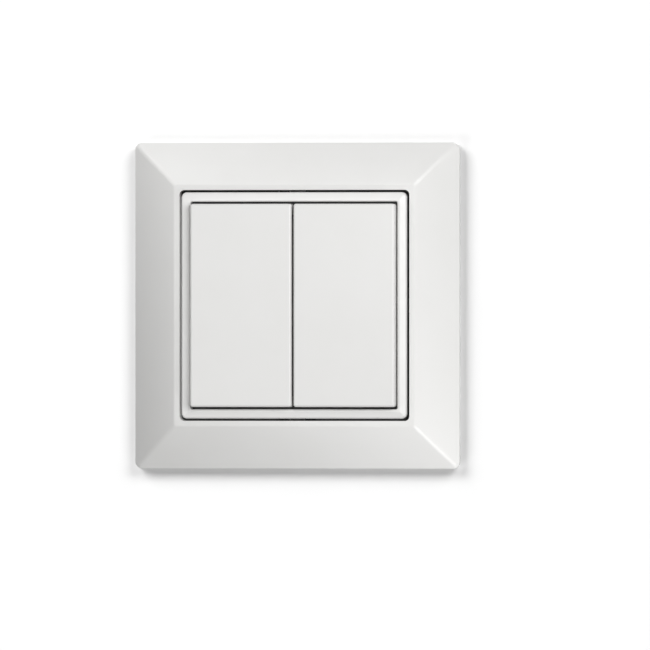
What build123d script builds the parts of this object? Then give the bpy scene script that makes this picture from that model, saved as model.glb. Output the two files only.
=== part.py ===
"""Wall remote control with two rockers, clipped to a wall plate. Sizes are in millimetres.

The part hangs upright on a wall: X points right, Z points up and the wall is the plane Y = 0.
A depth is a distance from the wall towards the room, so it runs along -Y.
"""
from build123d import *
import os

os.makedirs("parts", exist_ok=True)

# Driving dimensions across the front
ring_size = 55.4
ring_width = 2.25
ring_gap = 0.6
frame_border = 11.7
rocker_gap = 0.6
rocker_side_gap = 0.3
centre_gap = 0.5
screw_offset = 2.3
module_gap = 4.45

# Driving dimensions of the stack, from the wall to the rockers
plate_thickness = 2.0
plate_gap = 0.2
module_floor = 1.0
cell_diameter = 20.0
cell_thickness = 3.2
contact_thickness = 0.2
board_thickness = 1.0
sheet_thickness = 0.8
cover_plate = 1.0
bearing_rise = 2.7
bearing_room = 0.5
rocker_face = 1.8
rocker_rise = 3.5
ring_rise = 1.2

# Play between pieces that are pushed or clipped together
loose_play = 0.4
close_play = 0.1
pin_clearance = 0.05

# How exactly an edge has to lie on a plane to be picked
tolerance = 0.01

# Sizes across the front that follow: 80 mm frame, 56.6 mm opening, 49.7 mm rockers, 60 mm screw spacing
frame_opening = ring_size + 2 * ring_gap
frame_size = frame_opening + 2 * frame_border
ring_opening = ring_size - 2 * ring_width
rocker_height = ring_opening - 2 * rocker_gap
rocker_width = (ring_opening - 2 * rocker_side_gap - centre_gap) / 2
rocker_middle = (centre_gap + rocker_width) / 2
screw_place = ring_size / 2 + screw_offset
module_size = ring_opening - 2 * module_gap

# Depths that follow
module_back = plate_thickness + plate_gap
floor_front = module_back + module_floor
cell_back = floor_front + close_play
cell_front = cell_back + cell_thickness
board_back = cell_front + contact_thickness
board_front = board_back + board_thickness
cover_under = board_front + sheet_thickness
module_front = cover_under + cover_plate
bearing_front = module_front + bearing_rise
rocker_under = bearing_front + bearing_room
rocker_front = rocker_under + rocker_face
ring_front = rocker_front - rocker_rise
frame_front = ring_front - ring_rise

# Sketches on WALL see the part from the room; the section planes have depth upwards
WALL = Plane.XZ
LEVEL_SECTION = Plane(origin=(0, 0, 0), x_dir=(1, 0, 0), z_dir=(0, 0, -1))
UPRIGHT_SECTION = Plane(origin=(0, 0, 0), x_dir=(0, 0, 1), z_dir=(1, 0, 0))


def four_corners(half_x, half_z):
    """Points at the four corners of a rectangle round the middle."""
    return [(half_x, half_z), (-half_x, half_z), (-half_x, -half_z), (half_x, -half_z)]


def four_sides(half):
    """Points in the middle of the four sides of a square round the middle."""
    return [(half, 0), (0, half), (-half, 0), (0, -half)]


def eight_sides(half, offset):
    """Points at two offsets on each of the four sides: upright sides first, level sides second."""
    upright = [(side, shift) for side in (half, -half) for shift in (offset, -offset)]
    level = [(z, x) for x, z in upright]
    return upright, level


def on_diagonal(edge):
    """Whether the middle of an edge lies in one of the two upright diagonal planes."""
    middle = edge.center()
    return abs(abs(middle.X) - abs(middle.Z)) < tolerance


def roof_section(plane, back, side, front, half_side, half_front):
    """Section through a block with straight walls from back to side, sloping in from there to its front."""
    with BuildSketch(plane) as section:
        with BuildLine():
            Polyline(
                (half_side, back),
                (half_side, side),
                (half_front, front),
                (-half_front, front),
                (-half_side, side),
                (-half_side, back),
                close=True,
            )
        make_face()
    return section.sketch


def snap_section(side, top_z, inner, thickness, front, back, reach, rise):
    """Level section of a snap arm that points at the wall, with a barb on its outer side."""
    with BuildSketch(LEVEL_SECTION.offset(-top_z)) as section:
        with BuildLine():
            Polyline(
                (side * inner, front),
                (side * inner, back),
                (side * (inner + thickness), back),
                (side * (inner + thickness + reach), back + rise),
                (side * (inner + thickness), back + rise),
                (side * (inner + thickness), front),
                close=True,
            )
        make_face()
    return section.sketch


# Snap arms of the ring, which reach through the frame's ledge into the wall plate
arm_thickness = 1.2
arm_width = 7.0
arm_inset = 12.5
arm_end_play = 0.6
arm_back = 0.4
barb_rise = 0.6
barb_reach = 0.8
arm_z = ring_size / 2 - arm_inset
arm_inner = ring_opening / 2
arm_middle = arm_inner + arm_thickness / 2
arm_room = arm_width + 2 * arm_end_play

# Room for the heads of the wall screws
head_relief = 9.0
head_height = 2.6

# Outer frame: crowned bevels mitred at the corners, hollow behind
frame_wall = 1.9
frame_side = 3.0
frame_corner = 1.6
frame_crown = 0.45
land_width = 1.3
land_blend = 1.2
opening_corner = 1.2
ledge_width = 2.0
ledge_thickness = 1.3
plate_inset = 3.1
rib_inset = 20.0
rib_thickness = 1.2
rib_back = 0.3
half_frame = frame_size / 2
half_land = frame_opening / 2 + land_width
collar_size = frame_opening + 2 * frame_wall
ledge_opening = frame_opening - 2 * ledge_width
ledge_front = plate_thickness + ledge_thickness
plate_size = frame_size - 2 * (frame_wall + plate_inset)
half_hollow = half_frame - frame_wall
hollow_side = frame_side - frame_wall / 2
hollow_front = frame_front - frame_wall
bevel_run = (half_frame - half_land) / (frame_front - frame_side)
half_hollow_front = half_hollow - bevel_run * (hollow_front - hollow_side)
rib_offset = half_frame - rib_inset
rib_length = plate_inset + frame_wall / 4 - close_play
rib_middle = half_frame - frame_wall * 3 / 4 - rib_length / 2


def bevel_section(plane):
    """Section through the frame: side walls, crowned bevels and a flat front."""
    with BuildSketch(plane) as section:
        with BuildLine():
            Polyline((-half_land, frame_front), (half_land, frame_front))
            SagittaArc((half_land, frame_front), (half_frame, frame_side), frame_crown)
            Polyline((half_frame, frame_side), (half_frame, 0), (-half_frame, 0), (-half_frame, frame_side))
            SagittaArc((-half_frame, frame_side), (-half_land, frame_front), frame_crown)
        make_face()
    return section.sketch


# Hollow behind the side walls and the bevels
hollow_depths = (0, hollow_side, hollow_front)
with BuildPart() as frame_hollow:
    for plane, mode in ((LEVEL_SECTION, Mode.ADD), (UPRIGHT_SECTION, Mode.INTERSECT)):
        hollow_section = roof_section(plane, *hollow_depths, half_hollow, half_hollow_front)
        extrude(hollow_section, amount=half_frame, both=True, mode=mode)

with BuildPart() as outer_frame:
    extrude(bevel_section(LEVEL_SECTION), amount=half_frame, both=True)
    extrude(bevel_section(UPRIGHT_SECTION), amount=half_frame, both=True, mode=Mode.INTERSECT)
    # The corner and mitre edges are the ones in the diagonal planes
    fillet(outer_frame.edges().filter_by(on_diagonal), radius=frame_corner)
    # The bevels run into the land in a soft round
    fillet(outer_frame.faces().sort_by(Axis.Y)[0].edges(), radius=land_blend)
    add(frame_hollow.part, mode=Mode.SUBTRACT)
    # Collar round the opening, with the ledge that the ring clamps
    with BuildSketch(WALL.offset(plate_thickness)):
        Rectangle(collar_size, collar_size)
    extrude(amount=frame_front - plate_thickness - frame_wall)
    with BuildSketch(WALL.offset(ledge_front)):
        RectangleRounded(frame_opening, frame_opening, opening_corner)
    extrude(amount=frame_front, mode=Mode.SUBTRACT)
    with BuildSketch(WALL):
        RectangleRounded(ledge_opening, ledge_opening, opening_corner)
    extrude(amount=frame_front, mode=Mode.SUBTRACT)
    # Notches for the ring's arms and for the heads of the wall screws
    with BuildSketch(WALL):
        with Locations(four_corners(arm_middle, arm_z)):
            Rectangle(arm_thickness + 2 * arm_end_play, arm_room)
    extrude(amount=ledge_front, mode=Mode.SUBTRACT)
    with BuildSketch(WALL):
        with Locations(four_sides(screw_place)):
            Rectangle(head_relief, head_relief)
    extrude(amount=plate_thickness + head_height, mode=Mode.SUBTRACT)
    # Ribs that centre the frame on the wall plate
    upright_ribs, level_ribs = eight_sides(rib_middle, rib_offset)
    with BuildSketch(WALL.offset(rib_back)):
        with Locations(upright_ribs):
            Rectangle(rib_length, rib_thickness)
        with Locations(level_ribs):
            Rectangle(rib_thickness, rib_length)
    extrude(amount=frame_side)

# Wall plate: screwed to the wall, with slots for the ring's arms
plate_corner = 4.0
window_corner = 4.0
window_margin = 7.0
screw_slot_width = 4.0
screw_slot_length = 7.0
arm_slot_play = 0.5
window_size = cell_diameter + 2 * window_margin
arm_slot_width = arm_thickness + 2 * arm_slot_play
arm_slot_x = arm_middle - close_play
barb_room_width = arm_slot_width + barb_reach
barb_room_x = arm_slot_x + barb_reach / 2
barb_room_front = arm_back + barb_rise + close_play

with BuildPart() as wall_plate:
    with BuildSketch(WALL):
        RectangleRounded(plate_size, plate_size, plate_corner)
        RectangleRounded(window_size, window_size, window_corner, mode=Mode.SUBTRACT)
        for place, turn in zip(four_sides(screw_place), (0, 90, 0, 90)):
            with Locations(place):
                SlotOverall(screw_slot_length, screw_slot_width, rotation=turn, mode=Mode.SUBTRACT)
        with Locations(four_corners(arm_slot_x, arm_z)):
            Rectangle(arm_slot_width, arm_room, mode=Mode.SUBTRACT)
    extrude(amount=plate_thickness)
    with BuildSketch(WALL):
        with Locations(four_corners(barb_room_x, arm_z)):
            Rectangle(barb_room_width, arm_room)
    extrude(amount=barb_room_front, mode=Mode.SUBTRACT)

# Inner frame: the ring round the rockers, which holds the module and clamps the outer frame
ring_corner = 1.3
ring_slope = 0.4
ring_land = 0.6
ring_opening_corner = 0.4
ring_edge = 0.3
ring_inner_edge = 0.25
ring_relief = 8.0
stop_width = 2.1
stop_thickness = 1.4
flange_thickness = 1.4
nub_reach = 0.5
nub_length = 6.0
nub_thickness = 0.4
nub_inset = 9.0
ring_side = ring_front - ring_slope
half_ring = ring_size / 2
half_ring_front = ring_opening / 2 + ring_land
ring_depths = (ledge_front, ring_side, ring_front)
flange_back = ledge_front + close_play + nub_thickness
module_split = flange_back + flange_thickness
stop_opening = ring_opening - 2 * stop_width
nub_offset = module_size / 2 - nub_inset

with BuildPart() as inner_frame:
    # The face slopes outwards, with mitred corners, and the corners are rounded
    for plane, mode in ((LEVEL_SECTION, Mode.ADD), (UPRIGHT_SECTION, Mode.INTERSECT)):
        ring_section = roof_section(plane, *ring_depths, half_ring, half_ring_front)
        extrude(ring_section, amount=half_ring, both=True, mode=mode)
    with BuildSketch(WALL.offset(ledge_front)):
        RectangleRounded(ring_size, ring_size, ring_corner)
    extrude(amount=ring_front - ledge_front, mode=Mode.INTERSECT)
    rim = inner_frame.edges().filter_by_position(
        Axis.Y, tolerance - ring_front, tolerance - ring_side
    )
    chamfer(rim.filter_by(on_diagonal, reverse=True), length=ring_edge)
    with BuildSketch(WALL.offset(ledge_front)):
        RectangleRounded(ring_opening, ring_opening, ring_opening_corner)
    extrude(amount=ring_front, mode=Mode.SUBTRACT)
    chamfer(
        inner_frame.faces().sort_by(Axis.Y)[0].inner_wires().edges(),
        length=ring_inner_edge,
    )
    # Stop in front of the module's flange, and nubs that snap in behind it
    with BuildSketch(WALL.offset(module_split)):
        Rectangle(ring_opening + ring_width, ring_opening + ring_width)
        Rectangle(stop_opening, stop_opening, mode=Mode.SUBTRACT)
    extrude(amount=stop_thickness)
    upright_nubs, level_nubs = eight_sides(ring_opening / 2, nub_offset)
    with BuildSketch(WALL.offset(flange_back - nub_thickness)):
        with Locations(upright_nubs):
            Rectangle(2 * nub_reach, nub_length)
        with Locations(level_nubs):
            Rectangle(nub_length, 2 * nub_reach)
    extrude(amount=nub_thickness)
    # Room for the heads of the wall screws
    with BuildSketch(WALL.offset(ledge_front)):
        with Locations(four_sides(screw_place)):
            Rectangle(ring_relief, ring_relief)
    extrude(amount=head_height - ledge_thickness, mode=Mode.SUBTRACT)
    # Snap arms with barbs that hook behind the wall plate
    arm_top = ledge_front + arm_thickness
    for side in (1, -1):
        for top_z in (arm_z + arm_width / 2, -arm_z + arm_width / 2):
            arm_section = snap_section(
                side, top_z, arm_inner, arm_thickness, arm_top, arm_back, barb_reach, barb_rise
            )
            extrude(arm_section, amount=arm_width)

# Places of the bearings and domes under each rocker
bearing_thickness = 2.0
bearing_height = 6.0
web_thickness = 1.2
web_gap = 1.0
dome_inset = 6.0
dome_rise = 1.0
pin_diameter = 2.4
pin_rise = 1.3
pivot_depth = module_front + pin_rise
dome_front = module_front + dome_rise
dome_x = rocker_middle
dome_z = module_size / 2 - dome_inset
outer_bearing_x = (module_size - bearing_thickness) / 2
inner_bearing_x = 2 * rocker_middle - outer_bearing_x
web_shift = bearing_thickness / 2 + web_gap + web_thickness / 2
outer_web_x = outer_bearing_x - web_shift
inner_web_x = inner_bearing_x + web_shift

# Rockers: hollow shells with bearing webs, pins, pushers and stiffening ribs
rocker_corner = 0.6
rocker_edge = 0.6
rocker_wall = 1.3
skirt_drop = 4.2
inner_skirt_drop = 1.4
web_height = 6.0
web_clearance = 0.3
pin_end = 0.2
pusher_size = 3.6
stiffener_thickness = 1.0
stiffener_drop = 1.1
stiffener_z = dome_z / 2
skirt_back = rocker_under - skirt_drop
pin_length = web_gap + bearing_thickness + pin_end
web_back = module_front + web_clearance

with BuildPart() as right_rocker:
    with BuildSketch(WALL.offset(skirt_back)):
        with Locations((rocker_middle, 0)):
            RectangleRounded(rocker_width, rocker_height, rocker_corner)
    extrude(amount=rocker_front - skirt_back)
    fillet(right_rocker.faces().sort_by(Axis.Y)[0].edges(), radius=rocker_edge)
    with BuildSketch(WALL.offset(skirt_back)):
        with Locations((rocker_middle, 0)):
            Rectangle(rocker_width - 2 * rocker_wall, rocker_height - 2 * rocker_wall)
    extrude(amount=skirt_drop, mode=Mode.SUBTRACT)
    # The skirt beside the other rocker is short, clear of the module
    with BuildSketch(WALL.offset(skirt_back)):
        with Locations(((centre_gap + rocker_wall) / 2, 0)):
            Rectangle(2 * rocker_wall, module_size + 2 * rocker_wall)
    extrude(amount=skirt_drop - inner_skirt_drop, mode=Mode.SUBTRACT)
    # Webs that carry the bearing pins
    with BuildSketch(WALL.offset(web_back)):
        with Locations((outer_web_x, 0), (inner_web_x, 0)):
            Rectangle(web_thickness, web_height)
    extrude(amount=rocker_under - web_back)
    for web_x, outwards in ((outer_web_x, 1), (inner_web_x, -1)):
        with BuildSketch(UPRIGHT_SECTION.offset(web_x)):
            with Locations((0, pivot_depth)):
                Circle(pin_diameter / 2)
        extrude(amount=outwards * (web_thickness / 2 + pin_length))
    # Pushers over the domes, and ribs across the shell
    with BuildSketch(WALL.offset(dome_front)):
        with Locations((dome_x, dome_z), (dome_x, -dome_z)):
            Rectangle(pusher_size, pusher_size)
    extrude(amount=rocker_under - dome_front)
    with BuildSketch(WALL.offset(rocker_under - stiffener_drop)):
        with Locations((rocker_middle, stiffener_z), (rocker_middle, -stiffener_z)):
            Rectangle(rocker_width - 2 * rocker_wall, stiffener_thickness)
    extrude(amount=stiffener_drop)

with BuildPart() as left_rocker:
    add(mirror(right_rocker.part, about=Plane.YZ, mode=Mode.PRIVATE))

# Snap tabs that hold the two halves of the module together
tab_thickness = 1.0
tab_width = 5.0
tab_length = 1.6
tab_reach = 0.4
tab_rise = 0.6
tab_inset = 10.5
module_wall = 1.2
module_corner = 2.0
inner_size = module_size - 2 * module_wall
inner_corner = module_corner - module_wall
tab_inner = inner_size / 2 - close_play - tab_thickness
tab_back = module_split - tab_length
tab_z = module_size / 2 - tab_inset

# Module base: floor, flange, battery compartment and posts under the board
door_margin = 2.0
door_play = 0.15
lug_reach = 0.9
lug_width = 8.0
lip_thickness = 0.35
entry_width = 12.0
cup_wall = 1.1
cup_height = 1.8
well_wall = 1.2
well_clearance = 0.5
contact_notch = 6.0
post_size = 3.0
door_diameter = cell_diameter + 2 * door_margin
groove_diameter = door_diameter + 2 * (lug_reach + door_play)
cup_size = groove_diameter + 2 * cup_wall
well_diameter = cell_diameter + 2 * loose_play
well_outer = well_diameter + 2 * well_wall
cup_front = module_back + cup_height
well_front = board_back - well_clearance
flange_size = ring_opening - loose_play
board_size = inner_size - 2 * loose_play
post_place = (board_size - post_size) / 2 - loose_play

with BuildPart() as housing_base:
    with BuildSketch(WALL.offset(module_back)):
        RectangleRounded(module_size, module_size, module_corner)
    extrude(amount=module_split - module_back)
    # Flange that the ring holds
    with BuildSketch(WALL.offset(flange_back)):
        RectangleRounded(flange_size, flange_size, module_corner)
    extrude(amount=flange_thickness)
    with BuildSketch(WALL.offset(floor_front)):
        RectangleRounded(inner_size, inner_size, inner_corner)
    extrude(amount=module_split - floor_front, mode=Mode.SUBTRACT)
    # Battery compartment: a wide cup for the door and a narrower well for the cell
    with BuildSketch(WALL.offset(module_back)):
        Rectangle(cup_size, cup_size)
    extrude(amount=cup_height)
    with BuildSketch(WALL.offset(cup_front)):
        Circle(well_outer / 2)
    extrude(amount=well_front - cup_front)
    with BuildSketch(WALL.offset(module_back)):
        Circle(well_diameter / 2)
    extrude(amount=well_front - module_back, mode=Mode.SUBTRACT)
    with BuildSketch(WALL.offset(module_back)):
        Circle(door_diameter / 2 + door_play)
    extrude(amount=module_floor, mode=Mode.SUBTRACT)
    # Bayonet groove for the door's lugs, with two notches where they go in
    with BuildSketch(WALL.offset(module_back + lip_thickness)):
        Circle(groove_diameter / 2)
    extrude(amount=module_floor - lip_thickness, mode=Mode.SUBTRACT)
    with BuildSketch(WALL.offset(module_back)):
        Circle(groove_diameter / 2)
        Rectangle(entry_width, groove_diameter, mode=Mode.INTERSECT)
    extrude(amount=lip_thickness, mode=Mode.SUBTRACT)
    # Gap in the well for the positive contact
    with BuildSketch(WALL.offset(cup_front)):
        with Locations((well_diameter / 2, 0)):
            Rectangle(4 * well_wall, contact_notch)
    extrude(amount=well_front - cup_front, mode=Mode.SUBTRACT)
    # Posts under the board, with none at the antenna, and pockets for the cover's tabs
    with BuildSketch(WALL.offset(floor_front)):
        with Locations(four_sides(post_place)[:3]):
            Rectangle(post_size, post_size)
    extrude(amount=board_back - floor_front)
    with BuildSketch(WALL.offset(tab_back)):
        with Locations(four_corners(inner_size / 2, tab_z)):
            Rectangle(2 * tab_reach + close_play, tab_width + loose_play)
    extrude(amount=tab_rise + close_play, mode=Mode.SUBTRACT)

# Module cover, with the rocker bearings
dome_base = 6.4
dome_hole = dome_base + 2 * loose_play
bearing_mouth = 2.0

with BuildPart() as housing_cover:
    with BuildSketch(WALL.offset(module_split)):
        RectangleRounded(module_size, module_size, module_corner)
    extrude(amount=module_front - module_split)
    with BuildSketch(WALL.offset(module_split)):
        RectangleRounded(inner_size, inner_size, inner_corner)
    extrude(amount=cover_under - module_split, mode=Mode.SUBTRACT)
    with BuildSketch(WALL.offset(cover_under)):
        with Locations(four_corners(dome_x, dome_z)):
            Rectangle(dome_hole, dome_hole)
    extrude(amount=cover_plate, mode=Mode.SUBTRACT)
    # Bearings, open in front so that the pins snap in
    for bearing_x in (outer_bearing_x, inner_bearing_x, -inner_bearing_x, -outer_bearing_x):
        with BuildSketch(UPRIGHT_SECTION.offset(bearing_x - bearing_thickness / 2)):
            with Locations((0, module_front + bearing_rise / 2)):
                Rectangle(bearing_height, bearing_rise)
            with Locations((0, pivot_depth)):
                Circle(pin_diameter / 2 + pin_clearance, mode=Mode.SUBTRACT)
            with Locations((0, (pivot_depth + bearing_front) / 2)):
                Rectangle(bearing_mouth, bearing_front - pivot_depth, mode=Mode.SUBTRACT)
        extrude(amount=bearing_thickness)
    # Snap tabs, joined to the walls above the split
    for side in (1, -1):
        for top_z in (tab_z + tab_width / 2, -tab_z + tab_width / 2):
            tab_section = snap_section(
                side, top_z, tab_inner, tab_thickness, board_back, tab_back, tab_reach, tab_rise
            )
            extrude(tab_section, amount=tab_width)
    with BuildSketch(WALL.offset(module_split)):
        with Locations(four_corners(inner_size / 2, tab_z)):
            Rectangle(module_wall, tab_width)
    extrude(amount=board_back - module_split)

# Battery door: a round door with a slot for a coin and two bayonet lugs
coin_slot_length = 12.0
coin_slot_width = 1.6
coin_slot_depth = 0.5
lug_back = module_back + lip_thickness + pin_clearance

with BuildPart() as battery_door:
    with BuildSketch(WALL.offset(module_back)):
        Circle(door_diameter / 2)
    extrude(amount=module_floor)
    with BuildSketch(WALL.offset(lug_back)):
        Circle(door_diameter / 2 + lug_reach)
        Rectangle(groove_diameter, lug_width, mode=Mode.INTERSECT)
    extrude(amount=floor_front - lug_back - pin_clearance)
    with BuildSketch(WALL.offset(module_back)):
        SlotOverall(coin_slot_length, coin_slot_width)
    extrude(amount=coin_slot_depth, mode=Mode.SUBTRACT)

# Coin cell: a can with a narrower cap towards the board
cap_margin = 1.25
cap_height = 0.3

with BuildPart() as coin_cell:
    with BuildSketch(WALL.offset(cell_back)):
        Circle(cell_diameter / 2)
    extrude(amount=cell_thickness - cap_height)
    with BuildSketch(WALL.offset(cell_front - cap_height)):
        Circle(cell_diameter / 2 - cap_margin)
    extrude(amount=cap_height)

# Battery contacts: a strip under the board and a leaf against the side of the cell
leaf_thickness = 0.25
leaf_width = 4.0
leaf_drop = 2.3
foot_length = 3.0
strip_inset = 3.0
strip_length = cell_diameter - 2 * strip_inset
leaf_x = cell_diameter / 2

with BuildPart() as negative_contact:
    with BuildSketch(WALL.offset(cell_front)):
        Rectangle(strip_length, leaf_width)
    extrude(amount=contact_thickness)

with BuildPart() as positive_contact:
    with BuildSketch(LEVEL_SECTION.offset(-leaf_width / 2)):
        with BuildLine():
            Polyline(
                (leaf_x, board_back - leaf_drop),
                (leaf_x + leaf_thickness, board_back - leaf_drop),
                (leaf_x + leaf_thickness, board_back - leaf_thickness),
                (leaf_x + foot_length, board_back - leaf_thickness),
                (leaf_x + foot_length, board_back),
                (leaf_x, board_back),
                close=True,
            )
        make_face()
    extrude(amount=leaf_width)

# Circuit board, and the gold pads that the pills press on
pad_size = 3.4
pad_thickness = 0.05

with BuildPart() as circuit_board:
    with BuildSketch(WALL.offset(board_back)):
        Rectangle(board_size, board_size)
    extrude(amount=board_thickness)

with BuildPart() as contact_pads:
    with BuildSketch(WALL.offset(board_front)):
        with Locations(four_corners(dome_x, dome_z)):
            Rectangle(pad_size, pad_size * 3 / 4)
    extrude(amount=pad_thickness)

# Contact strips: silicone rubber, one under each rocker, with two domes and their carbon pills
sheet_margin = 0.6
dome_top = 4.0
cavity_size = 3.8
cavity_rise = 0.45
pill_size = 3.0
pill_thickness = 0.4
sheet_width = dome_base + 2 * sheet_margin
sheet_height = 2 * dome_z + sheet_width
cavity_front = cover_under + cavity_rise

with BuildPart() as right_contact_strip:
    with BuildSketch(WALL.offset(board_front)):
        with Locations((dome_x, 0)):
            Rectangle(sheet_width, sheet_height)
    extrude(amount=sheet_thickness)
    for z in (dome_z, -dome_z):
        with BuildSketch(LEVEL_SECTION.offset(-z)):
            with BuildLine():
                Polyline(
                    (dome_x, cover_under),
                    (dome_x + dome_base / 2, cover_under),
                    (dome_x + dome_top / 2, dome_front),
                    (dome_x, dome_front),
                    close=True,
                )
            make_face()
        revolve(axis=Axis((dome_x, 0, z), (0, 1, 0)))
    with BuildSketch(WALL.offset(board_front)):
        with Locations((dome_x, dome_z), (dome_x, -dome_z)):
            Rectangle(cavity_size, cavity_size)
    extrude(amount=cavity_front - board_front, mode=Mode.SUBTRACT)

with BuildPart() as left_contact_strip:
    add(mirror(right_contact_strip.part, about=Plane.YZ, mode=Mode.PRIVATE))

with BuildPart() as contact_pills:
    with BuildSketch(WALL.offset(cavity_front - pill_thickness)):
        with Locations(four_corners(dome_x, dome_z)):
            Rectangle(pill_size, pill_size)
    extrude(amount=pill_thickness)

# Parts on the back of the board, in its corners beside the battery compartment
chip_height = 0.9
small_height = 0.7
microcontroller_size = 5.0
radio_size = 4.0
crystal_width = 3.2
crystal_height = 2.5
small_width = 1.6
small_depth = 0.8
small_pitch = 2.0
small_row_gap = 3.0
corner_gap = 0.4
chip_place = (well_outer / 2 + corner_gap) / 2 ** 0.5 + microcontroller_size / 2

with BuildPart() as microcontroller:
    with BuildSketch(WALL.offset(board_back - chip_height)):
        with Locations((chip_place, -chip_place)):
            Rectangle(microcontroller_size, microcontroller_size)
    extrude(amount=chip_height)

with BuildPart() as radio_chip:
    with BuildSketch(WALL.offset(board_back - chip_height)):
        with Locations((-chip_place, -chip_place)):
            Rectangle(radio_size, radio_size)
    extrude(amount=chip_height)

with BuildPart() as crystal:
    with BuildSketch(WALL.offset(board_back - small_height)):
        with Locations((-chip_place, chip_place)):
            Rectangle(crystal_width, crystal_height)
    extrude(amount=small_height)

with BuildPart() as capacitors:
    with BuildSketch(WALL.offset(board_back - small_height)):
        with Locations((chip_place, chip_place)):
            with GridLocations(small_width, small_pitch, 1, 3):
                Rectangle(small_width, small_depth)
    extrude(amount=small_height)

with BuildPart() as resistors:
    with BuildSketch(WALL.offset(board_back - small_height / 2)):
        with Locations((chip_place + small_row_gap, chip_place)):
            with GridLocations(small_width, small_pitch, 1, 3):
                Rectangle(small_width, small_depth)
    extrude(amount=small_height / 2)

# Antenna: a bent wire beside the battery compartment, whose ends stand on the board
wire_diameter = 0.8
wire_drop = 1.3
wire_gap = 3.0
wire_half_length = 7.5
wire_z = -well_outer / 2 - wire_gap

with BuildPart() as antenna:
    with BuildLine() as wire_path:
        Polyline(
            (-wire_half_length, -board_back, wire_z),
            (-wire_half_length, wire_drop - board_back, wire_z),
            (wire_half_length, wire_drop - board_back, wire_z),
            (wire_half_length, -board_back, wire_z),
        )
    with BuildSketch(Plane(origin=wire_path.line @ 0, z_dir=wire_path.line % 0)):
        Circle(wire_diameter / 2)
    sweep(transition=Transition.RIGHT)

pieces = {
    "wall_plate": wall_plate,
    "outer_frame": outer_frame,
    "inner_frame": inner_frame,
    "left_rocker": left_rocker,
    "right_rocker": right_rocker,
    "housing_base": housing_base,
    "housing_cover": housing_cover,
    "battery_door": battery_door,
    "coin_cell": coin_cell,
    "negative_contact": negative_contact,
    "positive_contact": positive_contact,
    "circuit_board": circuit_board,
    "contact_pads": contact_pads,
    "left_contact_strip": left_contact_strip,
    "right_contact_strip": right_contact_strip,
    "contact_pills": contact_pills,
    "microcontroller": microcontroller,
    "radio_chip": radio_chip,
    "crystal": crystal,
    "capacitors": capacitors,
    "resistors": resistors,
    "antenna": antenna,
}
for name, piece in pieces.items():
    piece.part.label = name
    export_step(piece.part, f"parts/{name}.step")
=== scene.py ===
"""Looks of the wall remote control: materials, rubber strips, wall, studio light and camera."""
import math

import bpy
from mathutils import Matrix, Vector


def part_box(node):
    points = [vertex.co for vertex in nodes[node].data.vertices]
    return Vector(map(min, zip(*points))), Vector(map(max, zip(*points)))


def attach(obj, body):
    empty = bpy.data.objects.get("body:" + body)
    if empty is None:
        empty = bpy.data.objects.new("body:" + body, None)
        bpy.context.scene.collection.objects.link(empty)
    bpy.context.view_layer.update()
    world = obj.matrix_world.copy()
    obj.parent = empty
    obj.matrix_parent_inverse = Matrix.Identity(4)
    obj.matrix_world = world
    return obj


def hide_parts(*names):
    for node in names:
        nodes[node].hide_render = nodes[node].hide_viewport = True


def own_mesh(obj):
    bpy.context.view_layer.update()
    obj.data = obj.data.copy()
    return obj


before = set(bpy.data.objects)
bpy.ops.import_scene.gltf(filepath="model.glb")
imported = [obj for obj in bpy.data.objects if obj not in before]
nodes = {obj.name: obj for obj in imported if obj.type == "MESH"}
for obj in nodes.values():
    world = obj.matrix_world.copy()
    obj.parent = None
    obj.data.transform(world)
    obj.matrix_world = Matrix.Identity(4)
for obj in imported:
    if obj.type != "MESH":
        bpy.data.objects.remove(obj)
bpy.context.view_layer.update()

MM = 0.001

# Camera: a very long lens, a little to the right of the middle. The angle is in degrees, the distance in
# metres and the sensor in millimetres; the part's scale and middle in the picture are in its pixels.
PICTURE_SIZE = 650
CAMERA_AZIMUTH = 5.8
CAMERA_DISTANCE = 2.5
PIXELS_PER_MM = 4.067
OBJECT_PIXEL = (298.4, 305.5)
SENSOR_WIDTH = 36.0

# Lamps: what they light, direction from the part, distance and size in metres, and power in watts
LAMPS = {
    "frame_key": ("frame", (0.40, -0.82, 0.40), 0.30, 0.12, 0.376),
    "frame_top": ("frame", (0.15, -0.70, 0.68), 0.45, 0.18, 0.326),
    "frame_low": ("frame", (0.45, -0.75, -0.48), 0.45, 0.18, 0.654),
    "frame_left": ("frame", (-0.60, -0.75, 0.10), 0.45, 0.18, 0.274),
    "frame_upper_left": ("frame", (-0.50, -0.42, 0.75), 0.13, 0.05, 0.0205),
    "frame_lower_right": ("frame", (0.50, -0.45, -0.74), 0.13, 0.05, 0.0277),
    "face_key": ("face", (0.27, -0.92, 0.27), 0.30, 0.12, 0.24),
    "face_right": ("face", (0.50, -0.85, 0.10), 1.2, 0.6, 7.3),
    "face_left": ("face", (-0.50, -0.87, 0.0), 1.2, 0.6, 4.2),
    "back_light": ("part", (-0.15, 0.96, 0.22), 1.2, 0.5, 5.5),
    "wall_upper_left": ("wall", (-0.55, -0.62, 0.56), 4.8, 2.8, 212.0),
    "wall_upper_right": ("wall", (0.55, -0.62, 0.56), 4.8, 2.8, 166.0),
    "wall_lower_left": ("wall", (-0.55, -0.62, -0.56), 4.8, 2.8, 86.0),
    "wall_lower_right": ("wall", (0.55, -0.62, -0.56), 4.8, 2.8, 43.5),
}
# What keeps a lamp's light away from what it lights, where that isn't everything
BLOCKERS = {"frame_key": "frame", "frame_top": "frame", "back_light": "part_and_flags"}

# Flags in the screw slots: how far from the middle they are and how wide, in millimetres
SCREW_PLACE = 30.0
FLAG_SIZE = 8.0

# Air and wall: strength of the soft light from everywhere, and width and height of the wall in metres
WHITE = (1.0, 1.0, 1.0, 1.0)
AIR_STRENGTH = 0.035
WALL_SIZE = 1.6
WALL_COLOUR = (0.80, 0.80, 0.80, 1.0)

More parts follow.
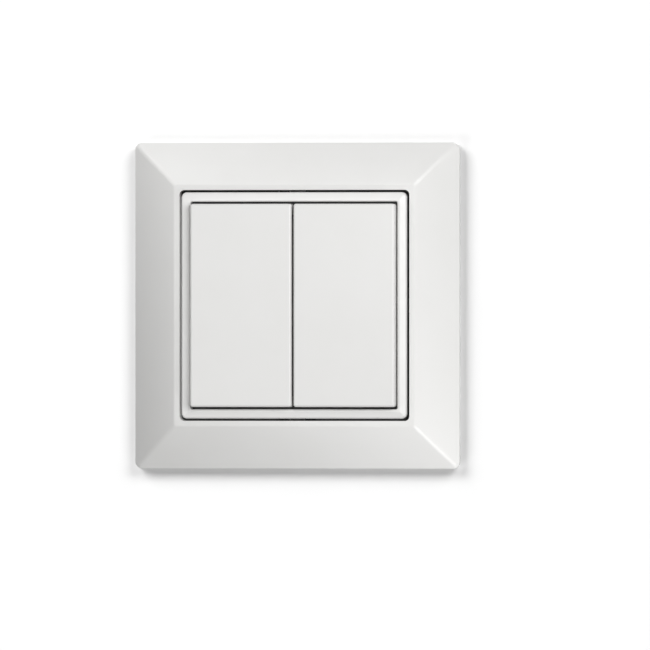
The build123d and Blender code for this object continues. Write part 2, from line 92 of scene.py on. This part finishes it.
# Gaps: width of the one round the ring, in millimetres, and the grey value of the shade painted into
# them
RING_GAP = 0.6
GAP_SHADE = 0.03
# Heights over the wall up to which shade is painted into the gaps, on the frame and wall plate, and on
# the ring and rockers, in millimetres
FRAME_SHADE_HEIGHT = 5.2
FACE_SHADE_HEIGHT = 7.5
# How far the painted shade reaches, in millimetres: past the walls of a gap, past the frame's opening on
# the wall plate, and into that plate from its front
GAP_MARGIN = 0.1
PLATE_MARGIN = 0.5
PLATE_SKIN = 0.05

# Moulded plastics: roughness, and size and depth of the grain in millimetres; their gloss is uneven, and
# the roughness goes up and down by the spread
FINISHES = {
    "white_frame": (0.35, 0.25, 0.0015),
    "white_ring": (0.34, 0.22, 0.0015),
    "white_rocker": (0.36, 0.22, 0.0015),
    "plate_plastic": (0.52, 0.35, 0.010),
    "dark_plastic": (0.50, 0.30, 0.010),
}
ROUGHNESS_SPREAD = 0.03

# Noise: nearly all of it lies between these values
NOISE_LOW = 0.3
NOISE_HIGH = 0.7


def grey(value, warm=0.0):
    """A grey colour, with less blue and a little less green where warm is above 0."""
    green_share = 0.2
    return (value, value * (1 - warm * green_share), value * (1 - warm), 1.0)


# Pairs of colours, dark and light, that a noise runs between
FRAME_WHITES = (grey(0.785, 0.022), grey(0.80, 0.018))
RING_WHITES = (grey(0.795, 0.020), grey(0.81, 0.018))
PLATE_WHITES = (grey(0.70, 0.03), grey(0.74, 0.02))
HOUSING_GREYS = (grey(0.030), grey(0.040))
STEEL_GREYS = (grey(0.52), grey(0.66, 0.04))
WIRE_GREYS = (grey(0.60), grey(0.74, 0.05))
CRYSTAL_GREYS = (grey(0.58), grey(0.70, 0.02))
RUBBER_GREYS = (grey(0.36), grey(0.46))
CARBON_BLACKS = (grey(0.012), grey(0.045))
CHIP_BLACKS = (grey(0.018), grey(0.032))
RESISTOR_BLACKS = (grey(0.02), grey(0.04))
CAPACITOR_TANS = ((0.40, 0.25, 0.13, 1.0), (0.50, 0.33, 0.18, 1.0))
FIBRE_TANS = ((0.38, 0.33, 0.17, 1.0), (0.55, 0.49, 0.29, 1.0))
MASK_GREENS = ((0.008, 0.085, 0.030, 1.0), (0.012, 0.105, 0.036, 1.0))
GOLDS = ((0.80, 0.55, 0.20, 1.0), (0.92, 0.68, 0.30, 1.0))
BRASSES = ((0.58, 0.47, 0.24, 1.0), (0.74, 0.62, 0.36, 1.0))
# Single colours
TRACK_GREEN = (0.035, 0.19, 0.060, 1.0)
COMB_GREEN = (0.012, 0.06, 0.025, 1.0)
LEAD_TIN = grey(0.62, 0.03)
END_TIN = grey(0.70, 0.02)


def set_input(tree, socket, value):
    """Links an output to an input socket, or sets a constant value on it."""
    if isinstance(value, bpy.types.NodeSocket):
        tree.links.new(value, socket)
    else:
        socket.default_value = value


def add_node(tree, kind, inputs=None, **settings):
    """Adds a shader node, with settings of its own and with values or links on its inputs."""
    node = tree.nodes.new("ShaderNode" + kind)
    for name, value in settings.items():
        setattr(node, name, value)
    for name, value in (inputs or {}).items():
        set_input(tree, node.inputs[name], value)
    return node


class Shader:
    """One procedural material: a Principled shader and the nodes that feed it, in millimetres."""

    def __init__(self, name):
        self.material = bpy.data.materials.new(name)
        self.material.use_nodes = True
        self.tree = self.material.node_tree
        self.surface = self.tree.nodes["Principled BSDF"]
        self.coordinates = self.node("TexCoord")
        metres = self.coordinates.outputs["Object"]
        self.place = self.node("VectorMath", {0: metres, "Scale": 1 / MM}, operation="SCALE").outputs[0]

    def node(self, kind, inputs=None, **settings):
        """Adds a node to this material."""
        return add_node(self.tree, kind, inputs, **settings)

    def feed(self, **sockets):
        """Links outputs to the shader's sockets, or sets constant values on them."""
        for name, value in sockets.items():
            set_input(self.tree, self.surface.inputs[name.replace("_", " ")], value)

    def axis(self, name):
        """One coordinate of the place, in millimetres."""
        return self.node("SeparateXYZ", {0: self.place}).outputs[name]

    def math(self, operation, first, second=0.0):
        """The result of a sum on one or two numbers."""
        return self.node("Math", {0: first, 1: second}, operation=operation).outputs[0]

    def step(self, value, edge, softness):
        """Goes from 0 to 1 as a value passes an edge; a negative softness goes from 1 to 0."""
        inputs = {"Value": value, "From Min": edge - softness, "From Max": edge + softness}
        return self.node("MapRange", inputs).outputs["Result"]

    def side(self):
        """1 on faces that look sideways, 0 on faces that look at the room or the wall."""
        normal = self.node("SeparateXYZ", {0: self.coordinates.outputs["Normal"]})
        facing = self.math("ABSOLUTE", normal.outputs["Y"])
        return self.step(facing, edge=0.6, softness=-0.1)

    def gap(self, reach, low, high):
        """Zone of the shade painted into the gaps: 1 within reach of the middle and between two heights
        over the wall, 0 elsewhere.
        """
        across = self.math("ABSOLUTE", self.axis("X"))
        up = self.math("ABSOLUTE", self.axis("Z"))
        height = self.math("MULTIPLY", self.axis("Y"), -1.0)
        inside = self.step(self.math("MAXIMUM", across, up), edge=reach, softness=-0.02)
        above = self.step(height, edge=low, softness=0.02)
        below = self.step(height, edge=high, softness=-0.3)
        return self.math("MULTIPLY", inside, self.math("MULTIPLY", above, below))

    def span(self, factor, low, high):
        """A number that goes from low to high with a noise."""
        inputs = {"Value": factor, "From Min": NOISE_LOW, "From Max": NOISE_HIGH}
        inputs.update({"To Min": low, "To Max": high})
        return self.node("MapRange", inputs).outputs["Result"]

    def stripes(self, value, pitch):
        """Stripes of 0 and 1, as wide as each other, along a value in millimetres."""
        turn = self.math("MULTIPLY", value, 2 * math.pi / pitch)
        return self.step(self.math("SINE", turn), edge=0.0, softness=0.15)

    def noise(self, size, detail=2.0, roughness=0.5, squeeze=(1.0, 1.0, 1.0)):
        """Noise with grains of about size millimetres, longer along an axis whose squeeze is below 1."""
        place = self.node("VectorMath", {0: self.place, 1: squeeze}, operation="MULTIPLY").outputs[0]
        inputs = {"Vector": place, "Scale": 1 / size, "Detail": detail, "Roughness": roughness}
        return self.node("TexNoise", inputs).outputs["Fac"]

    def turned(self, size):
        """Noise in fine rings round the middle of the part, as left by turning."""
        flat = self.node("VectorMath", {0: self.place, 1: (1.0, 0.0, 1.0)}, operation="MULTIPLY")
        radius = self.node("VectorMath", {0: flat.outputs[0]}, operation="LENGTH").outputs["Value"]
        inputs = {"W": radius, "Scale": 1 / size, "Detail": 3.0}
        return self.node("TexNoise", inputs, noise_dimensions="1D").outputs["Fac"]

    def tracks(self, length, pitch, width):
        """Fine lines in a pattern of bricks across the front, for the tracks of a circuit board."""
        inputs = {"X": self.axis("X"), "Y": self.axis("Z")}
        across = self.node("CombineXYZ", inputs).outputs[0]
        inputs = {"Vector": across, "Scale": 1.0, "Mortar Size": width, "Mortar Smooth": 0.1}
        inputs.update({"Brick Width": length, "Row Height": pitch})
        return self.node("TexBrick", inputs).outputs["Fac"]

    def ramp(self, factor, low, high, start=NOISE_LOW, end=NOISE_HIGH):
        """Colours from low to high as a factor goes from start to end."""
        node = self.node("ValToRGB", {"Fac": factor})
        for element, position, colour in zip(node.color_ramp.elements, (start, end), (low, high)):
            element.position = position
            element.color = colour
        return node.outputs["Color"]

    def mix(self, factor, low, high):
        """A colour between two colours, given as colours or links."""
        node = self.node("MixRGB", {"Fac": factor, "Color1": low, "Color2": high})
        return node.outputs["Color"]

    def bump(self, height, depth):
        """Bump of a height, depth millimetres deep."""
        inputs = {"Height": height, "Strength": 1.0, "Distance": depth * MM}
        return self.node("Bump", inputs).outputs["Normal"]


def moulded_plastic(name, dark, light, gap=None):
    """Moulded plastic: cloudy tone, fine spark-eroded grain and uneven gloss.

    Inside a gap, given by a reach from the middle and two heights over the wall, shade is painted in: it
    is dark.
    """
    roughness, grain, depth = FINISHES[name]
    shader = Shader(name)
    tone = shader.ramp(shader.noise(size=14.0, detail=3.0), dark, light)
    # Painted shade: the colour goes dark grey deep in the gaps, where shade falls
    if gap:
        tone = shader.mix(shader.gap(*gap), tone, grey(GAP_SHADE))
    gloss = shader.noise(size=2.5, detail=4.0)
    texture = shader.noise(size=grain, detail=3.0, roughness=0.6)
    shader.feed(
        Base_Color=tone,
        Roughness=shader.span(gloss, roughness - ROUGHNESS_SPREAD, roughness + ROUGHNESS_SPREAD),
        Normal=shader.bump(texture, depth),
        IOR=1.5,
    )
    return shader.material


def metal(name, dark, light, smooth, rough, lines):
    """Sheet metal or wire: cloudy tone, with brush lines along the axis whose squeeze is smallest."""
    shader = Shader(name)
    clouds = shader.noise(size=1.8, detail=4.0)
    brushed = shader.noise(size=0.12, detail=3.0, squeeze=lines)
    shader.feed(
        Base_Color=shader.ramp(clouds, dark, light),
        Roughness=shader.span(brushed, smooth, rough),
        Normal=shader.bump(brushed, depth=0.003),
        Metallic=1.0,
    )
    return shader.material


def turned_steel(name):
    """Nickel-plated can of a cell: fine turned rings and a cloudy tone."""
    shader = Shader(name)
    clouds = shader.noise(size=3.5, detail=5.0)
    rings = shader.turned(size=0.25)
    shader.feed(
        Base_Color=shader.ramp(clouds, *STEEL_GREYS),
        Roughness=shader.span(rings, low=0.22, high=0.38),
        Normal=shader.bump(rings, depth=0.004),
        Metallic=1.0,
    )
    return shader.material


def board_green():
    """Green solder mask over copper tracks, with the bare glass fibre along the board's edges."""
    shader = Shader("board_green")
    wide = shader.tracks(length=5.2, pitch=1.9, width=0.16)
    fine = shader.tracks(length=2.3, pitch=0.75, width=0.07)
    patches = shader.step(shader.noise(size=6.0), edge=0.5, softness=0.03)
    lines = shader.math("MAXIMUM", wide, shader.math("MULTIPLY", fine, patches))
    mask = shader.ramp(shader.noise(size=9.0), *MASK_GREENS)
    face = shader.mix(lines, mask, TRACK_GREEN)
    fibre = shader.ramp(shader.noise(size=0.2, squeeze=(0.1, 1.0, 0.1)), *FIBRE_TANS)
    shader.feed(
        Base_Color=shader.mix(shader.side(), face, fibre),
        Roughness=shader.span(shader.noise(size=1.2), low=0.28, high=0.40),
        Normal=shader.bump(lines, depth=0.03),
    )
    return shader.material


def gold_pad():
    """Gold-plated comb of a key contact, with dark mask between its fingers."""
    shader = Shader("gold_pad")
    fingers = shader.stripes(shader.axis("X"), pitch=0.6)
    gold = shader.ramp(shader.noise(size=0.5), *GOLDS)
    shader.feed(
        Base_Color=shader.mix(fingers, COMB_GREEN, gold),
        Metallic=fingers,
        Roughness=shader.span(shader.noise(size=0.3), low=0.22, high=0.34),
        Normal=shader.bump(fingers, depth=0.02),
    )
    return shader.material


def silicone():
    """Translucent grey silicone rubber with a fine dusty grain."""
    shader = Shader("silicone")
    shader.feed(
        Base_Color=shader.ramp(shader.noise(size=3.0, detail=3.0), *RUBBER_GREYS),
        Roughness=shader.span(shader.noise(size=0.6, detail=4.0), low=0.50, high=0.66),
        Normal=shader.bump(shader.noise(size=0.18, detail=3.0), depth=0.008),
        Subsurface_Weight=0.25,
        Subsurface_Scale=0.8 * MM,
        IOR=1.41,
    )
    return shader.material


def carbon():
    """Carbon-filled rubber of the contact pills: black, with fine grey specks."""
    shader = Shader("carbon")
    specks = shader.noise(size=0.10, detail=4.0, roughness=0.7)
    shader.feed(
        Base_Color=shader.ramp(specks, *CARBON_BLACKS, start=0.5, end=0.75),
        Roughness=shader.span(specks, low=0.80, high=0.62),
        Normal=shader.bump(specks, depth=0.010),
    )
    return shader.material


def chip_black(name, pitch):
    """Black moulded chip, with a row of tinned leads along each of its sides."""
    shader = Shader(name)
    along = shader.math("ADD", shader.axis("X"), shader.axis("Z"))
    leads = shader.math("MULTIPLY", shader.stripes(along, pitch), shader.side())
    grain = shader.noise(size=0.12, detail=3.0, roughness=0.6)
    epoxy = shader.ramp(grain, *CHIP_BLACKS)
    shader.feed(
        Base_Color=shader.mix(leads, epoxy, LEAD_TIN),
        Metallic=leads,
        Roughness=shader.span(grain, low=0.52, high=0.64),
        Normal=shader.bump(grain, depth=0.006),
    )
    return shader.material


def tinned_ends(name, node_name, dark, light):
    """Ceramic body of small board parts, which stand in a row and have tinned ends."""
    shader = Shader(name)
    low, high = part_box(node_name)
    middle = (low[0] + high[0]) / 2 / MM
    half = (high[0] - low[0]) / 2 / MM
    cap_length = 0.3
    reach = shader.math("ABSOLUTE", shader.math("SUBTRACT", shader.axis("X"), middle))
    ends = shader.step(reach, edge=half - cap_length, softness=0.02)
    body = shader.ramp(shader.noise(size=0.25, detail=3.0), dark, light)
    shader.feed(
        Base_Color=shader.mix(ends, body, END_TIN),
        Metallic=ends,
        Roughness=shader.span(shader.noise(size=0.2), low=0.30, high=0.46),
        Normal=shader.bump(shader.noise(size=0.15), depth=0.006),
    )
    return shader.material


def paint(material, *names):
    """Gives a material to nodes of the model, in place of their plain one."""
    for name in names:
        mesh = nodes[name].data
        mesh.materials.clear()
        mesh.materials.append(material)


ring_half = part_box("inner_frame")[1][0] / MM
opening_half = ring_half + RING_GAP
plate_front = -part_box("wall_plate")[0][1] / MM
# Where shade is painted into the gaps: reach from the middle, and the lowest and highest heights over
# the wall
frame_painted_shade = (opening_half + GAP_MARGIN, 0.0, FRAME_SHADE_HEIGHT)
ring_painted_shade = (ring_half + GAP_MARGIN, 0.0, FACE_SHADE_HEIGHT)
plate_painted_shade = (opening_half + PLATE_MARGIN, plate_front - PLATE_SKIN, FRAME_SHADE_HEIGHT)
paint(moulded_plastic("white_frame", *FRAME_WHITES, frame_painted_shade), "outer_frame")
paint(moulded_plastic("white_ring", *RING_WHITES, ring_painted_shade), "inner_frame")
paint(moulded_plastic("white_rocker", *FRAME_WHITES, ring_painted_shade), "left_rocker", "right_rocker")
paint(moulded_plastic("plate_plastic", *PLATE_WHITES, plate_painted_shade), "wall_plate")
paint(
    moulded_plastic("dark_plastic", *HOUSING_GREYS),
    "housing_base",
    "housing_cover",
    "battery_door",
)
paint(turned_steel("cell_steel"), "coin_cell")
paint(
    metal("contact_metal", *BRASSES, smooth=0.25, rough=0.40, lines=(0.05, 1.0, 1.0)),
    "negative_contact",
    "positive_contact",
)
paint(metal("antenna_wire", *WIRE_GREYS, smooth=0.23, rough=0.38, lines=(0.03, 1.0, 1.0)), "antenna")
paint(metal("crystal_can", *CRYSTAL_GREYS, smooth=0.19, rough=0.34, lines=(1.0, 1.0, 0.08)), "crystal")
paint(board_green(), "circuit_board")
paint(gold_pad(), "contact_pads")
paint(carbon(), "contact_pills")
paint(chip_black("microcontroller_black", pitch=1.0), "microcontroller")
paint(chip_black("radio_black", pitch=0.8), "radio_chip")
paint(tinned_ends("capacitor_tan", "capacitors", *CAPACITOR_TANS), "capacitors")
paint(tinned_ends("resistor_black", "resistors", *RESISTOR_BLACKS), "resistors")


def make_strip(side, material):
    """The rubber strip under one rocker, which its rocker squeezes against the board."""
    node = nodes[side + "_contact_strip"]
    strip = bpy.data.objects.new(side + "_rubber_strip", node.data.copy())
    strip.data.materials.clear()
    strip.data.materials.append(material)
    bpy.context.scene.collection.objects.link(strip)
    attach(strip, "transmitter")
    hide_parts(node.name)
    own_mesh(strip)
    return strip


rubber = silicone()
strips = [make_strip(side, rubber) for side in ("left", "right")]


def seen_rays(tree):
    """1 for rays from the camera, also by way of a reflection or through glass; 0 for rays of light."""
    light_path = add_node(tree, "LightPath").outputs
    seen = light_path["Is Camera Ray"]
    for other in ("Is Glossy Ray", "Is Transmission Ray"):
        seen = add_node(tree, "Math", {0: seen, 1: light_path[other]}, operation="MAXIMUM").outputs[0]
    return seen


def wall_material():
    """White wall, seen from the room only: from behind it lets everything through."""
    material = bpy.data.materials.new("wall_white")
    material.use_nodes = True
    tree = material.node_tree
    tree.nodes.clear()
    front = add_node(tree, "BsdfDiffuse", {"Color": WALL_COLOUR})
    behind = add_node(tree, "NewGeometry").outputs["Backfacing"]
    clear = add_node(tree, "BsdfTransparent")
    sides = add_node(tree, "MixShader", {0: behind, 1: front.outputs[0], 2: clear.outputs[0]})
    add_node(tree, "OutputMaterial", {"Surface": sides.outputs[0]})
    return material


def make_squares(name, places, size):
    """An object of upright squares that face the room, one round each place, in metres."""
    half = size / 2
    corners = []
    for x, y, z in places:
        corners += [(x + i * half, y, z + j * half) for i, j in ((-1, -1), (1, -1), (1, 1), (-1, 1))]
    faces = [tuple(range(start, start + 4)) for start in range(0, len(corners), 4)]
    mesh = bpy.data.meshes.new(name)
    mesh.from_pydata(corners, [], faces)
    squares = bpy.data.objects.new(name, mesh)
    bpy.context.scene.collection.objects.link(squares)
    return squares


def make_wall():
    """The wall that the part hangs on, with its face towards the room."""
    wall = make_squares("wall", [(0, 0, 0)], WALL_SIZE)
    wall.data.materials.append(wall_material())
    return wall


def make_flags():
    """Unseen flags halfway through the screw slots, which keep the back light out of the gaps."""
    low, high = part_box("wall_plate")
    depth = (low[1] + high[1]) / 2
    place = SCREW_PLACE * MM
    slots = [(x * place, depth, z * place) for x, z in ((1, 0), (-1, 0), (0, 1), (0, -1))]
    flags = make_squares("slot_flags", slots, FLAG_SIZE * MM)
    flags.visible_camera = False
    flags.visible_diffuse = False
    flags.visible_glossy = False
    flags.visible_transmission = False
    return flags


def make_group(name, objects):
    """A collection of objects, for what a lamp lights or what keeps its light away."""
    group = bpy.data.collections.new(name)
    for item in objects:
        group.objects.link(item)
    return group


def make_lamp(name, direction, distance, size, power, receivers, blockers):
    """A square soft lamp that shines at the part from a direction, on some receivers alone.

    Only the blockers keep its light away from them, or everything does where blockers is None.
    """
    data = bpy.data.lights.new(name, "AREA")
    data.shape = "SQUARE"
    data.size = size
    data.energy = power
    lamp = bpy.data.objects.new(name, data)
    towards = Vector(direction).normalized()
    lamp.location = towards * distance
    lamp.rotation_mode = "QUATERNION"
    lamp.rotation_quaternion = towards.to_track_quat("Z", "Y")
    lamp.light_linking.receiver_collection = receivers
    lamp.light_linking.blocker_collection = blockers
    bpy.context.scene.collection.objects.link(lamp)


def make_world():
    """White to the camera and in reflections; faint soft light everywhere else."""
    world = bpy.data.worlds.new("air")
    bpy.context.scene.world = world
    world.use_nodes = True
    tree = world.node_tree
    tree.nodes.clear()
    light = add_node(tree, "Background", {"Color": WHITE, "Strength": AIR_STRENGTH})
    white = add_node(tree, "Background", {"Color": WHITE, "Strength": 1.0})
    mix = add_node(tree, "MixShader", {0: seen_rays(tree), 1: light.outputs[0], 2: white.outputs[0]})
    add_node(tree, "OutputWorld", {"Surface": mix.outputs[0]})


def make_camera():
    """A long lens, level with the part, aimed so that the part sits as it does in the picture."""
    azimuth = math.radians(CAMERA_AZIMUTH)
    right = Vector((math.cos(azimuth), math.sin(azimuth), 0))
    back = Vector((math.sin(azimuth), -math.cos(azimuth), 0))
    middle = PICTURE_SIZE / 2
    aim = right * ((middle - OBJECT_PIXEL[0]) / PIXELS_PER_MM * MM)
    aim += Vector((0, 0, (OBJECT_PIXEL[1] - middle) / PIXELS_PER_MM * MM))
    data = bpy.data.cameras.new("camera")
    data.sensor_width = SENSOR_WIDTH
    data.lens = SENSOR_WIDTH * CAMERA_DISTANCE / (PICTURE_SIZE / PIXELS_PER_MM * MM)
    data.clip_end = 2 * CAMERA_DISTANCE
    camera = bpy.data.objects.new("camera", data)
    camera.location = aim + back * CAMERA_DISTANCE
    camera.rotation_mode = "QUATERNION"
    camera.rotation_quaternion = back.to_track_quat("Z", "Y")
    bpy.context.scene.collection.objects.link(camera)
    bpy.context.scene.camera = camera


part = list(nodes.values()) + strips
groups = {
    "part": make_group("part_only", part),
    "part_and_flags": make_group("part_and_flags", part + [make_flags()]),
    "frame": make_group("frame_only", [nodes["outer_frame"]]),
    "face": make_group("face_only", [piece for piece in part if piece is not nodes["outer_frame"]]),
    "wall": make_group("wall_only", [make_wall()]),
}
for name, (group, *settings) in LAMPS.items():
    make_lamp(name, *settings, receivers=groups[group], blockers=groups.get(BLOCKERS.get(name)))
make_world()
make_camera()
bpy.context.scene.view_settings.view_transform = "Standard"
